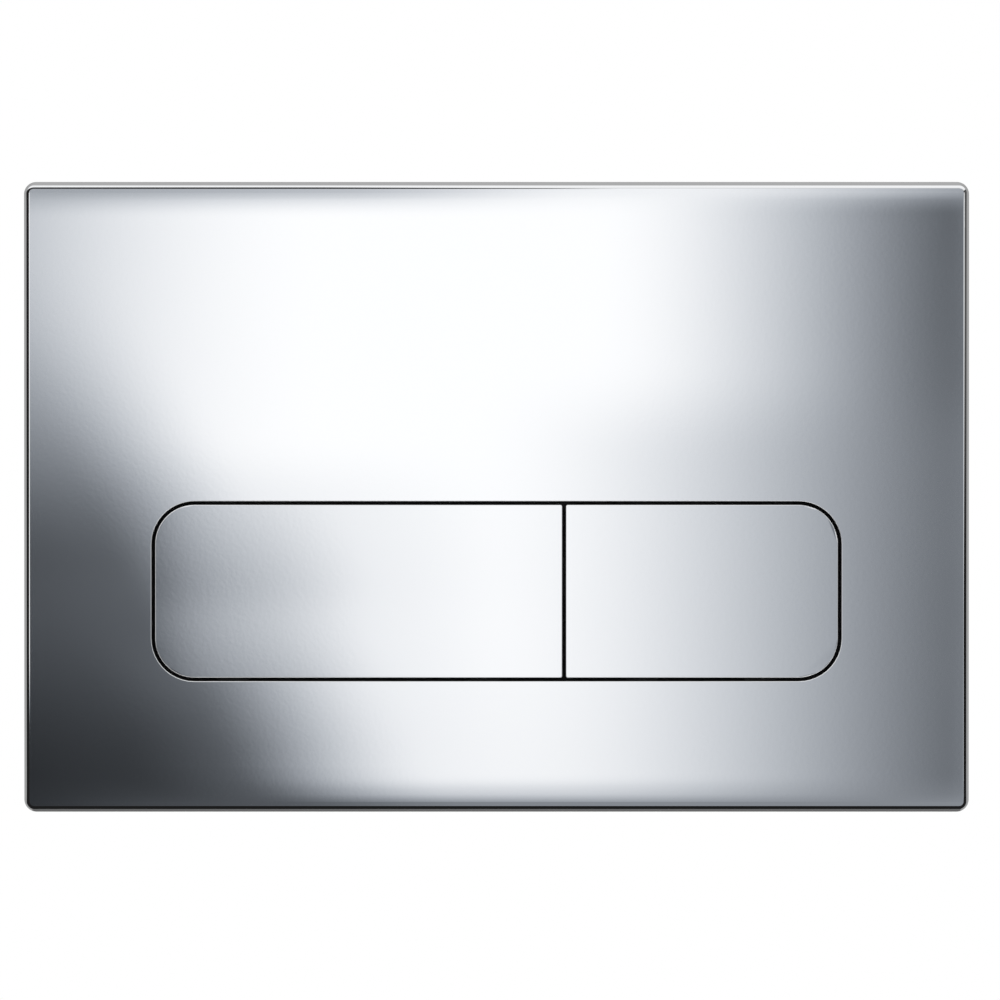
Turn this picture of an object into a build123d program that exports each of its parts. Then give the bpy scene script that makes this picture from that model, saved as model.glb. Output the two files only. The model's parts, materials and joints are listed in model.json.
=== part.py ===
from build123d import *
from math import asin, atan, cos, degrees, hypot, radians, sin
import os

# Dual-flush plate for a concealed cistern, in millimetres.
# X runs to the right along the plate, Y into the wall, Z up.
# The origin is the plate's centre on the wall plane, and the front faces -Y.

# Front plate
plate_width = 246.0
plate_height = 164.0
plate_depth = 12.0
plate_corner_radius = 3.2
rim_flare = 1.33  # how much wider each side is at the wall than at the face
rim_radius = 0.9
roll_width = 11.0  # strip along the top and bottom that eases back
roll_tilt = 8.4  # how far the face has turned at its edge
roll_arcs = 3  # arcs that the turn is made of, each tighter than the last
face_wall = 2.4
side_wall = 2.2
cavity_corner_radius = 2.2

# Button opening
side_margin = 33.65
bottom_margin = 34.4
opening_height = 46.6
opening_corner_radius = 11.1
opening_edge_radius = 0.2
collar_wall = 1.6
collar_depth = 5.0  # from the face to the rear of the opening's collar

# Buttons
button_gap = 0.9
split_x = 17.5  # middle of the gap between the two buttons
button_wall = 2.2
skirt_wall = 1.5
skirt_depth = 5.0
split_corner_radius = 0.5
button_edge_radius = 0.2
button_rib_wall = 1.2
button_rib_height = 2.0
button_rib_pitch = 22.0

# Hinges
press_angle = 7.0
hinge_drop = 5.5  # from the opening's top edge to the hinge axis
hinge_back = 7.0  # from the face to the hinge axis
pin_radius = 1.5
pin_running_clearance = 0.05
pin_seat_clearance = 0.02
bearing_radius = 2.6
bearing_foot = 3.9  # depth of a bearing's foot below the hinge axis
bearing_wall = 3.0
bearing_side_gap = 0.5
bearing_inset = 12.0  # from the end of the opening to the outer side of a bearing
bearing_split_inset = 4.0  # the same from the gap between the buttons

# Stops that hold the buttons flush
stop_width = 8.0
stop_inset = 20.0  # from the end of a button to the middle of a stop
land_height = 4.6
land_border = 1.0
pad_thickness = 0.9
pad_border = 0.6
stop_gap = 0.1
tab_wall = 1.4

# Carrier tray
flange_wall = 2.0
flange_border = 7.65
tray_wall = 1.8
tray_side_clearance = 1.65
tray_top_clearance = 2.5
tray_bottom_clearance = 1.6
tray_floor_wall = 2.0
press_clearance = 1.1  # room between a fully pressed button and the tray's floor
flange_corner_radius = 6.0
window_width = 24.0
window_height = 15.0
window_pitch = 34.0
window_count = 5
window_corner_radius = 3.0
window_drop = 14.5  # from the hinge axis to the middle of the windows
tray_rib_wall = 1.6
tray_rib_height = 2.2

# Screws between carrier and plate
boss_radius = 3.1
boss_pitch = 80.0
pilot_radius = 1.4
pilot_floor = 1.0
screw_end_gap = 1.0
thread_clearance = 0.05
carrier_hole_radius = 1.6
carrier_head_radius = 2.6
carrier_head_height = 1.8

# Push rods
rod_offset = 30.0
rod_lever = 34.0  # from the hinge axis down to the rods
nose_radius = 2.5
nose_width = 8.0
nose_gap = 0.2
rod_radius = 3.0
rod_head_radius = 6.0
rod_head_height = 2.5
rod_reach = 55.0
rod_running_clearance = 0.1
spring_length = 8.8
spring_radius = 4.5
spring_wire_radius = 0.4
spring_turns = 3
spring_seat_gap = 0.02
guide_flange_radius = 6.0
guide_flange_height = 1.0
guide_radius = 4.2
guide_stub = 6.0
guide_seat_clearance = 0.05
cup_radius = 6.75
cup_wall = 1.6
cup_floor_wall = 2.0
cup_rib_reach = 6.0
cup_rib_wall = 1.6
nut_gap = 0.2
nut_radius = 5.0
nut_height = 4.0
tip_radius = 4.75
tip_length = 22.0
tip_overlap = 13.0
tip_end_gap = 0.2
tip_flute_radius = 1.2
tip_flute_count = 6
tip_dome_radius = 3.8

# Mounting frame and its wall screws
frame_wall = 3.0
frame_side_gap = 4.0
frame_corner_radius = 4.0
frame_inner_clearance = 1.0
frame_top_bar = 18.0
frame_lip_wall = 1.5
frame_lip_height = 3.0
frame_rib_wall = 1.4
frame_rib_pitch = 26.0
stud_radius = 3.0
stud_neck_radius = 2.6
stud_length = 48.0
stud_head_radius = 5.0
stud_head_height = 2.6
stud_slot_width = 1.4
stud_slot_depth = 1.2
washer_radius = 6.0
washer_wall = 1.0
washer_hole_clearance = 0.2
slot_clearance = 0.4
slot_travel = 5.0
tip_chamfer = 0.8

# Snap arms between plate and frame
snap_pitch = 120.0
snap_width = 12.0
snap_wall = 1.8
snap_barb = 1.2
snap_ledge = 1.5
snap_clearance = 0.15
snap_side_clearance = 1.0

# Ribs on the rear of the plate
plate_rib_wall = 1.4
plate_rib_height = 2.5
plate_rib_pitch = 40.0
plate_rib_rows = 2

# Levels along Y, from the face back into the wall
face_y = -plate_depth
face_back_y = face_y + face_wall
collar_back_y = face_y + collar_depth
button_back_y = face_y + button_wall
skirt_back_y = face_y + skirt_depth
hinge_y = face_y + hinge_back
flange_back_y = -frame_wall
flange_front_y = flange_back_y - flange_wall
rod_front_y = hinge_y + nose_radius + nose_gap
rod_head_back_y = rod_front_y + rod_head_height
guide_front_y = rod_head_back_y + spring_length
cup_front_y = guide_front_y + guide_flange_height
cup_back_y = cup_front_y + cup_floor_wall
guide_back_y = cup_back_y + guide_stub
rod_back_y = rod_front_y + rod_reach
pad_back_y = collar_back_y + pad_thickness
tab_front_y = pad_back_y + stop_gap
tab_back_y = tab_front_y + tab_wall

# Places in the plane of the wall
face_half_width = plate_width / 2 - rim_flare
face_half_height = plate_height / 2 - rim_flare
opening_width = plate_width - 2 * side_margin
opening_bottom = -plate_height / 2 + bottom_margin
opening_top = opening_bottom + opening_height
opening_middle = (opening_top + opening_bottom) / 2
button_end_x = opening_width / 2 - button_gap
button_bottom = opening_bottom + button_gap
hinge_z = opening_top - hinge_drop
rod_z = hinge_z - rod_lever
land_bottom = opening_bottom - land_height
tab_bottom = land_bottom + pad_border
tray_half_width = opening_width / 2 + tray_side_clearance
tray_top = opening_top + tray_top_clearance
tray_bottom = land_bottom - tray_bottom_clearance
tray_corner_radius = opening_corner_radius + tray_side_clearance
flange_half_width = opening_width / 2 + flange_border
flange_border_z = 2 * boss_radius + tray_wall + flange_wall
flange_top = tray_top + flange_border_z
flange_bottom = tray_bottom - flange_border_z
boss_top = flange_top - boss_radius - flange_wall / 2
boss_bottom = flange_bottom + boss_radius + flange_wall / 2
frame_half_width = plate_width / 2 - side_wall - frame_side_gap
frame_half_height = plate_height / 2 - side_wall - frame_side_gap
frame_inner_half_width = flange_half_width + frame_inner_clearance
frame_inner_top = frame_half_height - frame_top_bar
frame_inner_bottom = flange_bottom - frame_inner_clearance
stud_x = (frame_half_width + frame_inner_half_width) / 2
snap_top = (frame_half_height + frame_inner_top) / 2
snap_bottom = -(frame_half_height - frame_inner_bottom) / 2

# The tray's floor lies behind the hooks of a fully pressed button
pressed = radians(press_angle)
hook_travel = (hinge_z - tab_bottom) * sin(pressed)
hook_back_y = hinge_y + (tab_back_y - hinge_y) * cos(pressed) + hook_travel
floor_front_y = hook_back_y + press_clearance
floor_back_y = floor_front_y + tray_floor_wall

# The two buttons: name, end of the opening, side of the gap, rod
buttons = {
    "large": {"end_x": -button_end_x, "split_side": -1, "rod_x": -rod_offset},
    "small": {"end_x": button_end_x, "split_side": 1, "rod_x": rod_offset},
}


def slab(outline, y_front, y_back):
    """An outline in X and Z, given depth between two levels of Y."""
    plane = Plane((0, y_back, 0), x_dir=(1, 0, 0), z_dir=(0, -1, 0))
    return extrude(plane * outline, amount=y_back - y_front)


def side_slab(outline, x_start, x_end):
    """An outline in Y and Z, given width between two places on X."""
    plane = Plane((x_start, 0, 0), x_dir=(0, 1, 0), z_dir=(1, 0, 0))
    return extrude(plane * outline, amount=x_end - x_start)


def box_outline(x_low, x_high, z_low, z_high):
    middle = Pos((x_low + x_high) / 2, (z_low + z_high) / 2)
    return middle * Rectangle(x_high - x_low, z_high - z_low)


def round_bar(x, z, radius, y_front, y_back):
    return slab(Pos(x, z) * Circle(radius), y_front, y_back)


def tube(x, z, radius, bore, y_front, y_back):
    return slab(Pos(x, z) * (Circle(radius) - Circle(bore)), y_front, y_back)


def opening_outline(growth):
    """The button opening's outline, grown or shrunk all round."""
    width = opening_width + 2 * growth
    height = opening_height + 2 * growth
    return Pos(0, opening_middle) * RectangleRounded(width, height, opening_corner_radius + growth)


def drafted_block(width, height, corner_radius, depth):
    """A block from the wall plane towards the front, with the rim's draft."""
    plane = Plane((0, 0, 0), x_dir=(1, 0, 0), z_dir=(0, -1, 0))
    draft = degrees(atan(rim_flare / plate_depth))
    return extrude(plane * RectangleRounded(width, height, corner_radius), amount=depth, taper=draft)


def rolled_section():
    """Side profile of the plate: a flat face that eases back at the top and bottom."""
    flat = face_half_height - roll_width
    outline = [Line((face_y, -flat), (face_y, flat))]
    y, z, tilt = face_y, flat, 0
    for arc in range(1, roll_arcs + 1):
        turned = radians(roll_tilt) * (arc / roll_arcs) ** 2
        rise = roll_width / roll_arcs
        radius = rise / (sin(turned) - sin(tilt))
        if arc == roll_arcs:
            rise += 2 * rim_flare
            turned = asin(sin(tilt) + rise / radius)
        end_y = y + radius * (cos(tilt) - cos(turned))
        for way in (1, -1):
            heading = (sin(tilt), way * cos(tilt))
            outline.append(TangentArc((y, way * z), (end_y, way * (z + rise)), tangent=heading))
        y, z, tilt = end_y, z + rise, turned
    corners = [(y, z), (plate_depth, z), (plate_depth, -z), (y, -z)]
    outline += [Line(start, end) for start, end in zip(corners, corners[1:])]
    return make_face(Wire(outline))


def plate_shell():
    """Drafted outer shell with its rolled face, rounded rim and hollow rear."""
    block = drafted_block(plate_width, plate_height, plate_corner_radius, plate_depth)
    shell = block & side_slab(rolled_section(), -plate_width / 2, plate_width / 2)
    rim = [edge for edge in shell.edges() if on_rim(edge.center())]
    shell = fillet(rim, rim_radius)
    hollow_width = plate_width - 2 * side_wall
    hollow_height = plate_height - 2 * side_wall
    return shell - drafted_block(hollow_width, hollow_height, cavity_corner_radius, -face_back_y)


def on_rim(point):
    at_front = point.Y < face_y + rim_flare
    at_side = abs(point.X) > face_half_width - plate_corner_radius
    at_end = abs(point.Z) > face_half_height - rim_radius
    return at_front and (at_side or at_end)


def boss_places():
    return [(x, z) for z in (boss_top, boss_bottom) for x in (-boss_pitch, 0, boss_pitch)]


def stop_places(name):
    """Middle of each stop along X: one near each end of a button."""
    button = buttons[name]
    inner_end = split_x + button["split_side"] * button_gap / 2
    outwards = button["split_side"]
    return (button["end_x"] - outwards * stop_inset, inner_end + outwards * stop_inset)


def plate_ribs():
    """Stiffening ribs on the rear of the plain upper half."""
    low = flange_top + frame_inner_clearance
    high = frame_inner_top - frame_inner_clearance
    back = face_back_y + plate_rib_height
    ribs = Part()
    for row in range(plate_rib_rows):
        z = low + (high - low) * (row + 1) / (plate_rib_rows + 1)
        outline = Pos(0, z) * Rectangle(2 * frame_inner_half_width, plate_rib_wall)
        ribs += slab(outline, face_back_y, back)
    columns = int(frame_inner_half_width / plate_rib_pitch)
    for column in range(-columns, columns + 1):
        x = column * plate_rib_pitch
        outline = box_outline(x - plate_rib_wall / 2, x + plate_rib_wall / 2, low, high)
        ribs += slab(outline, face_back_y, back)
    return ribs


def snap_places():
    """Each snap arm's place and the way its barb points along Z."""
    ends = ((snap_top, 1), (snap_bottom, -1))
    return [(x, z, way) for z, way in ends for x in (-snap_pitch / 2, snap_pitch / 2)]


def snap_arm(x, z, way):
    """Springy arm with a barb that catches behind the frame's ledge."""
    barb_front = -frame_wall + snap_ledge + snap_clearance
    barb_back = -snap_clearance
    half = snap_wall / 2
    profile = Polyline(
        (face_back_y, z - way * half),
        (face_back_y, z + way * half),
        (barb_front, z + way * half),
        (barb_front, z + way * (half + snap_barb)),
        (barb_back, z + way * half),
        (barb_back, z - way * half),
        close=True,
    )
    return side_slab(make_face(profile), x - snap_width / 2, x + snap_width / 2)


def front_plate():
    plate = plate_shell()
    plate += slab(opening_outline(collar_wall), face_back_y, collar_back_y)
    for name in buttons:
        for x in stop_places(name):
            half = stop_width / 2 + land_border
            land = box_outline(x - half, x + half, land_bottom, opening_bottom)
            plate += slab(land, face_back_y, collar_back_y)
    for x, z in boss_places():
        plate += round_bar(x, z, boss_radius, face_back_y, flange_front_y)
    plate += plate_ribs()
    for x, z, way in snap_places():
        plate += snap_arm(x, z, way)
    plate -= slab(opening_outline(0), face_y - rim_radius, collar_back_y)
    for x, z in boss_places():
        plate -= round_bar(x, z, pilot_radius, face_back_y + pilot_floor, flange_front_y)
    edge = [e for e in plate.edges() if on_opening_edge(e.center())]
    return fillet(edge, opening_edge_radius)


def on_opening_edge(point):
    at_front = abs(point.Y - face_y) < opening_edge_radius / 10
    in_width = abs(point.X) < opening_width / 2 + opening_edge_radius
    in_height = abs(point.Z - opening_middle) < opening_height / 2 + opening_edge_radius
    return at_front and in_width and in_height


def button_outline(name):
    """A button's outline: its share of the opening, with square corners at the gap."""
    inner_end = split_x + buttons[name]["split_side"] * button_gap / 2
    x_low, x_high = sorted((inner_end, buttons[name]["end_x"]))
    outline = opening_outline(-button_gap) & box_outline(x_low, x_high, opening_bottom, opening_top)
    by_x = outline.vertices().group_by(Axis.X)
    corners = by_x[-1] if buttons[name]["split_side"] < 0 else by_x[0]
    return fillet(corners, split_corner_radius)


def bearing_places(name):
    """Where the two ears and the two brackets of a hinge start along X."""
    outwards = buttons[name]["split_side"]
    outer = outwards * (opening_width / 2 - bearing_inset)
    inner = split_x + outwards * bearing_split_inset
    step = bearing_wall + bearing_side_gap
    ends = ((outer, outwards), (inner, -outwards))
    brackets = [min(end, end - way * bearing_wall) for end, way in ends]
    ears = [brackets[0] - outwards * step, brackets[1] + outwards * step]
    return brackets, ears


def bearing(x, y_seat, bore):
    """An ear or bracket: a tapered stem from its seat to a round eye on the hinge axis."""
    away = 1 if y_seat > hinge_y else -1
    stem = Polyline(
        (hinge_y, hinge_z + bearing_radius),
        (y_seat, hinge_z + bearing_radius),
        (y_seat, hinge_z - bearing_foot),
        (hinge_y + away * bearing_radius, hinge_z - bearing_radius),
        (hinge_y, hinge_z - bearing_radius),
        close=True,
    )
    eye = Pos(hinge_y, hinge_z) * Circle(bearing_radius)
    outline = make_face(stem) + eye - Pos(hinge_y, hinge_z) * Circle(bore)
    return side_slab(outline, x, x + bearing_wall)


def push_nose(name):
    """Post on the button's rear with a rounded end that rolls on the rod's head."""
    middle = Pos((button_back_y + hinge_y) / 2, rod_z)
    post = middle * Rectangle(hinge_y - button_back_y, 2 * nose_radius)
    outline = post + Pos(hinge_y, rod_z) * Circle(nose_radius)
    x = buttons[name]["rod_x"]
    return side_slab(outline, x - nose_width / 2, x + nose_width / 2)


def stop_tab(x):
    """Hook below the button that rests against a rubber pad behind the plate."""
    x_low, x_high = x - stop_width / 2, x + stop_width / 2
    top = button_bottom + skirt_wall
    post = slab(box_outline(x_low, x_high, button_bottom, top), skirt_back_y, tab_back_y)
    return post + slab(box_outline(x_low, x_high, tab_bottom, top), tab_front_y, tab_back_y)


def button_ribs(outline):
    """Lattice of low ribs inside the button, below the hinge."""
    top = hinge_z - 2 * bearing_radius
    back = button_back_y + button_rib_height
    lattice = Sketch()
    columns = int(button_end_x / button_rib_pitch)
    for column in range(-columns, columns + 1):
        x = column * button_rib_pitch
        lattice += box_outline(x - button_rib_wall / 2, x + button_rib_wall / 2, button_bottom, top)
    for z in (top, (top + button_bottom) / 2):
        lattice += Pos(0, z) * Rectangle(opening_width, button_rib_wall)
    return slab(lattice & outline, button_back_y, back)


def button(name):
    outline = button_outline(name)
    inside = offset(outline, -skirt_wall)
    body = slab(outline, face_y, skirt_back_y)
    front = body.faces().sort_by(Axis.Y)[0]
    body = fillet(front.edges(), button_edge_radius)
    body -= slab(inside, button_back_y, skirt_back_y)
    body += button_ribs(outline)
    for x in bearing_places(name)[1]:
        body += bearing(x, button_back_y, pin_radius + pin_running_clearance)
    body += push_nose(name)
    for x in stop_places(name):
        body += stop_tab(x)
    return body


def hinge_pin(name):
    brackets = bearing_places(name)[0]
    outline = Pos(hinge_y, hinge_z) * Circle(pin_radius)
    return side_slab(outline, min(brackets), max(brackets) + bearing_wall)


def stop_pads(name):
    pads = []
    for x in stop_places(name):
        half = stop_width / 2
        outline = box_outline(x - half, x + half, tab_bottom, opening_bottom - pad_border)
        pads.append(slab(outline, collar_back_y, pad_back_y))
    return Compound(children=pads)


def tray_outline(growth):
    width = 2 * (tray_half_width + growth)
    height = tray_top - tray_bottom + 2 * growth
    middle = Pos(0, (tray_top + tray_bottom) / 2)
    return middle * RectangleRounded(width, height, tray_corner_radius + growth)


def rod_cup(name):
    """Deep cup in the tray's floor, with side ribs, that holds a rod's spring and guide."""
    x = buttons[name]["rod_x"]
    outside = cup_radius + cup_wall
    cup = round_bar(x, rod_z, outside, floor_front_y, cup_back_y)
    for way in (-1, 1):
        rib = Polyline(
            (x, floor_back_y),
            (x + way * (outside + cup_rib_reach), floor_back_y),
            (x + way * outside, cup_back_y),
            (x, cup_back_y),
            close=True,
        )
        plane = Plane((0, 0, rod_z - cup_rib_wall / 2))
        cup += extrude(plane * make_face(rib), amount=cup_rib_wall)
    return cup


def button_carrier():
    flange_height = flange_top - flange_bottom
    flange = RectangleRounded(2 * flange_half_width, flange_height, flange_corner_radius)
    carrier = slab(Pos(0, (flange_top + flange_bottom) / 2) * flange, flange_front_y, flange_back_y)
    carrier += slab(tray_outline(tray_wall), flange_front_y, floor_back_y)
    window_z = hinge_z - window_drop
    for way in (-1, 1):
        z = window_z + way * (window_height + tray_rib_wall) / 2
        rib = Pos(0, z + way * tray_rib_wall) * Rectangle(2 * tray_half_width, tray_rib_wall)
        carrier += slab(rib, floor_back_y, floor_back_y + tray_rib_height)
    for name in buttons:
        carrier += rod_cup(name)
    carrier -= slab(tray_outline(0), flange_front_y, floor_front_y)
    for x in [window_pitch * (i - (window_count - 1) / 2) for i in range(window_count)]:
        window = RectangleRounded(window_width, window_height, window_corner_radius)
        carrier -= slab(Pos(x, window_z) * window, floor_front_y, floor_back_y)
    for name in buttons:
        x = buttons[name]["rod_x"]
        carrier -= round_bar(x, rod_z, cup_radius, floor_front_y, cup_front_y)
        carrier -= round_bar(x, rod_z, guide_radius + guide_seat_clearance, cup_front_y, cup_back_y)
        for bracket in bearing_places(name)[0]:
            carrier += bearing(bracket, floor_front_y, pin_radius + pin_seat_clearance)
    for x, z in boss_places():
        carrier -= round_bar(x, z, carrier_hole_radius, flange_front_y, flange_back_y)
    return carrier


def carrier_screws():
    screws = []
    screw_end = face_back_y + pilot_floor + screw_end_gap
    for x, z in boss_places():
        shank = round_bar(x, z, pilot_radius - thread_clearance, screw_end, flange_back_y)
        head = round_bar(x, z, carrier_head_radius, flange_back_y, flange_back_y + carrier_head_height)
        screws.append(shank + head)
    return Compound(children=screws)


def push_rod(name):
    x = buttons[name]["rod_x"]
    head = round_bar(x, rod_z, rod_head_radius, rod_front_y, rod_head_back_y)
    shaft = round_bar(x, rod_z, rod_radius, rod_head_back_y, rod_back_y)
    end = shaft.faces().sort_by(Axis.Y)[-1]
    return head + chamfer(end.edges(), tip_chamfer)


def rod_guide(name):
    x = buttons[name]["rod_x"]
    bore = rod_radius + rod_running_clearance
    flange = tube(x, rod_z, guide_flange_radius, bore, guide_front_y, cup_front_y)
    return flange + tube(x, rod_z, guide_radius, bore, cup_front_y, guide_back_y)


def return_spring(name):
    """Open coil around the rod, from the rod's head to the guide, as a chain of tilted half turns."""
    x = buttons[name]["rod_x"]
    seat = spring_wire_radius + spring_seat_gap
    start = rod_head_back_y + seat
    rise = (spring_length - 2 * seat) / (2 * spring_turns)
    reach = hypot(spring_radius, rise / 2)
    halves = []
    for half in range(2 * spring_turns):
        side = 1 if half % 2 == 0 else -1
        y = start + half * rise
        first = (x + side * spring_radius, y, rod_z)
        top = (x, y + rise / 2, rod_z + side * reach)
        last = (x - side * spring_radius, y + rise, rod_z)
        halves.append(ThreePointArc(first, top, last))
    coil = Wire(halves)
    section = Plane(coil @ 0, z_dir=coil % 0) * Circle(spring_wire_radius)
    return sweep(section, path=coil)


def rod_nut(name):
    outline = RegularPolygon(nut_radius, 6, major_radius=False) - Circle(rod_radius + thread_clearance)
    front = guide_back_y + nut_gap
    return slab(Pos(buttons[name]["rod_x"], rod_z) * outline, front, front + nut_height)


def rod_tip(name):
    """Fluted sleeve on the rod's end, closed by a dome."""
    x = buttons[name]["rod_x"]
    front = rod_back_y - tip_overlap
    back = front + tip_length
    outline = Circle(tip_radius)
    for place in PolarLocations(tip_radius, tip_flute_count):
        outline -= place * Circle(tip_flute_radius)
    grip = slab(Pos(x, rod_z) * outline, front, rod_back_y)
    dome = round_bar(x, rod_z, tip_radius, rod_back_y, back)
    dome = fillet(dome.faces().sort_by(Axis.Y)[-1].edges(), tip_dome_radius)
    bore = round_bar(x, rod_z, rod_radius + thread_clearance, front, rod_back_y + tip_end_gap)
    return grip + dome - bore


def frame_outline(inset):
    """The frame's outer outline, drawn in by an inset."""
    width = 2 * (frame_half_width - inset)
    height = 2 * (frame_half_height - inset)
    return RectangleRounded(width, height, frame_corner_radius)


def frame_opening(growth):
    """The opening that the carrier passes through, grown all round."""
    height = frame_inner_top - frame_inner_bottom + 2 * growth
    middle = Pos(0, (frame_inner_top + frame_inner_bottom) / 2)
    return middle * RectangleRounded(2 * (frame_inner_half_width + growth), height, frame_corner_radius)


def frame_ribs(lip_front):
    """Cross ribs between the two lips of the upper and lower bars, clear of the snap arms."""
    ribs = Part()
    columns = int(frame_inner_half_width / frame_rib_pitch)
    bars = ((frame_inner_top, frame_half_height), (-frame_half_height, frame_inner_bottom))
    for column in range(-columns, columns + 1):
        x = column * frame_rib_pitch
        if abs(abs(x) - snap_pitch / 2) < snap_width / 2 + snap_side_clearance + frame_rib_wall:
            continue
        for z_low, z_high in bars:
            outline = box_outline(x - frame_rib_wall / 2, x + frame_rib_wall / 2, z_low, z_high)
            ribs += slab(outline, lip_front, -frame_wall)
    return ribs


def mounting_frame():
    lip_front = -frame_wall - frame_lip_height
    frame = slab(frame_outline(0) - frame_opening(0), -frame_wall, 0)
    frame += slab(frame_outline(0) - frame_outline(frame_lip_wall), lip_front, -frame_wall)
    frame += slab(frame_opening(frame_lip_wall) - frame_opening(0), lip_front, -frame_wall)
    frame += frame_ribs(lip_front)
    slot_width = 2 * (stud_radius + slot_clearance)
    for x in (-stud_x, stud_x):
        slot = Pos(x, 0) * Rot(0, 0, 90) * SlotCenterToCenter(slot_travel, slot_width)
        frame -= slab(slot, -frame_wall, 0)
    for x, z, way in snap_places():
        half_width = snap_width / 2 + snap_side_clearance
        near = z - way * (snap_wall / 2 + snap_barb + snap_clearance)
        ledge = z + way * (snap_wall / 2 + snap_clearance)
        far = z + way * (snap_wall / 2 + snap_barb + 2 * snap_clearance)
        window = box_outline(x - half_width, x + half_width, min(near, ledge), max(near, ledge))
        pocket = box_outline(x - half_width, x + half_width, min(near, far), max(near, far))
        frame -= slab(window, -frame_wall, 0)
        frame -= slab(pocket, -frame_wall + snap_ledge, 0)
    return frame


def fixing_screws():
    """Long wall screws: slotted head, plain neck through the frame, threaded part in the wall."""
    screws = []
    head_back = -frame_wall - washer_wall
    head_front = head_back - stud_head_height
    for x in (-stud_x, stud_x):
        head = round_bar(x, 0, stud_head_radius, head_front, head_back)
        slot = Pos(x, 0) * Rectangle(2 * stud_head_radius, stud_slot_width)
        head -= slab(slot, head_front, head_front + stud_slot_depth)
        neck = round_bar(x, 0, stud_neck_radius, head_back, 0)
        thread = round_bar(x, 0, stud_radius, 0, stud_length)
        thread = chamfer(thread.faces().sort_by(Axis.Y)[-1].edges(), tip_chamfer)
        screws.append(head + neck + thread)
    return Compound(children=screws)


def fixing_washers():
    bore = stud_radius + washer_hole_clearance
    front = -frame_wall - washer_wall
    washers = [tube(x, 0, washer_radius, bore, front, -frame_wall) for x in (-stud_x, stud_x)]
    return Compound(children=washers)


def all_nodes():
    nodes = {
        "front_plate": front_plate(),
        "button_carrier": button_carrier(),
        "carrier_screws": carrier_screws(),
        "mounting_frame": mounting_frame(),
        "fixing_screws": fixing_screws(),
        "fixing_washers": fixing_washers(),
    }
    for name in buttons:
        nodes[f"{name}_button"] = button(name)
        nodes[f"{name}_hinge_pin"] = hinge_pin(name)
        nodes[f"{name}_stop_pads"] = stop_pads(name)
        nodes[f"{name}_push_rod"] = push_rod(name)
        nodes[f"{name}_rod_guide"] = rod_guide(name)
        nodes[f"{name}_return_spring"] = return_spring(name)
        nodes[f"{name}_rod_nut"] = rod_nut(name)
        nodes[f"{name}_rod_tip"] = rod_tip(name)
    return nodes


os.makedirs("parts", exist_ok=True)
for node_name, shape in all_nodes().items():
    export_step(shape, f"parts/{node_name}.step")
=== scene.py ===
import json
import math

import bmesh
import bpy
from mathutils import Matrix, Vector


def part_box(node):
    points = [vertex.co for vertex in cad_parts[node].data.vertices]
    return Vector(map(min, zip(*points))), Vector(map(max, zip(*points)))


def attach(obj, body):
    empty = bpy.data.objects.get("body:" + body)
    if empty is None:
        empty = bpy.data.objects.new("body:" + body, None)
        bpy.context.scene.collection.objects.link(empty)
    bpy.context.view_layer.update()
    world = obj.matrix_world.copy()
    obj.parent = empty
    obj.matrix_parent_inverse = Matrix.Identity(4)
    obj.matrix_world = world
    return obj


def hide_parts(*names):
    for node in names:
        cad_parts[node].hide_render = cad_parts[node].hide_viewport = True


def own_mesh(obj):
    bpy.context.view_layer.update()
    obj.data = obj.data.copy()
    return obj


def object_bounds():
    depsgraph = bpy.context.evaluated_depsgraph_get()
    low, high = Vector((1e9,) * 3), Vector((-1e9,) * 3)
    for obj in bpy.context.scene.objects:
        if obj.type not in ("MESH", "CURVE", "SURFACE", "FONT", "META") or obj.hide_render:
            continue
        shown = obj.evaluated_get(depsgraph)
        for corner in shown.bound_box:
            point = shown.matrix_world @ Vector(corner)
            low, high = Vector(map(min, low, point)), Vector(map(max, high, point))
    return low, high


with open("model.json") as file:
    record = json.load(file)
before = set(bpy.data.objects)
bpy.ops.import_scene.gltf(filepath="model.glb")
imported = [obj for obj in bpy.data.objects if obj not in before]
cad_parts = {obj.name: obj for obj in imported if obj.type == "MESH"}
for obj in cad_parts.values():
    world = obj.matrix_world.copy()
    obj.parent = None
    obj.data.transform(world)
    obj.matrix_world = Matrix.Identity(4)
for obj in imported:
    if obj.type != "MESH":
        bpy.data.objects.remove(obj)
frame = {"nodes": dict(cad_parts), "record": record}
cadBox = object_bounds()
nodes = frame["nodes"]
scene = bpy.context.scene
mm = 0.001
print("frame loaded:", len(nodes), "nodes")


# small helpers for node trees

def addNode(tree, kind, inputs=None, **settings):
    node = tree.nodes.new(kind)
    for key, value in settings.items():
        setattr(node, key, value)
    for key, value in (inputs or {}).items():
        if isinstance(value, bpy.types.NodeSocket):
            tree.links.new(value, node.inputs[key])
        else:
            node.inputs[key].default_value = value
    return node


def calc(tree, operation, *values):
    inputs = dict(enumerate(values))
    return addNode(tree, "ShaderNodeMath", inputs, operation=operation).outputs[0]


def fade(tree, value, start, end, low=0.0, high=1.0, curve="SMOOTHSTEP"):
    ends = {"Value": value, "From Min": start, "From Max": end, "To Min": low, "To Max": high}
    return addNode(tree, "ShaderNodeMapRange", ends, interpolation_type=curve).outputs["Result"]


def blend(tree, factor, first, second):
    inputs = {0: factor, 2: first, 3: second}
    return addNode(tree, "ShaderNodeMix", inputs, data_type="FLOAT").outputs[0]


def opaque(colour):
    return (*colour, 1.0) if isinstance(colour, tuple) else colour


def blendColour(tree, factor, first, second):
    inputs = {0: factor, 6: opaque(first), 7: opaque(second)}
    return addNode(tree, "ShaderNodeMix", inputs, data_type="RGBA").outputs[2]


def ownPlace(tree):
    return addNode(tree, "ShaderNodeTexCoord").outputs["Object"]


def ownAxes(tree):
    # x, y and z in the piece's own space
    return addNode(tree, "ShaderNodeSeparateXYZ", {0: ownPlace(tree)}).outputs[:3]


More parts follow.
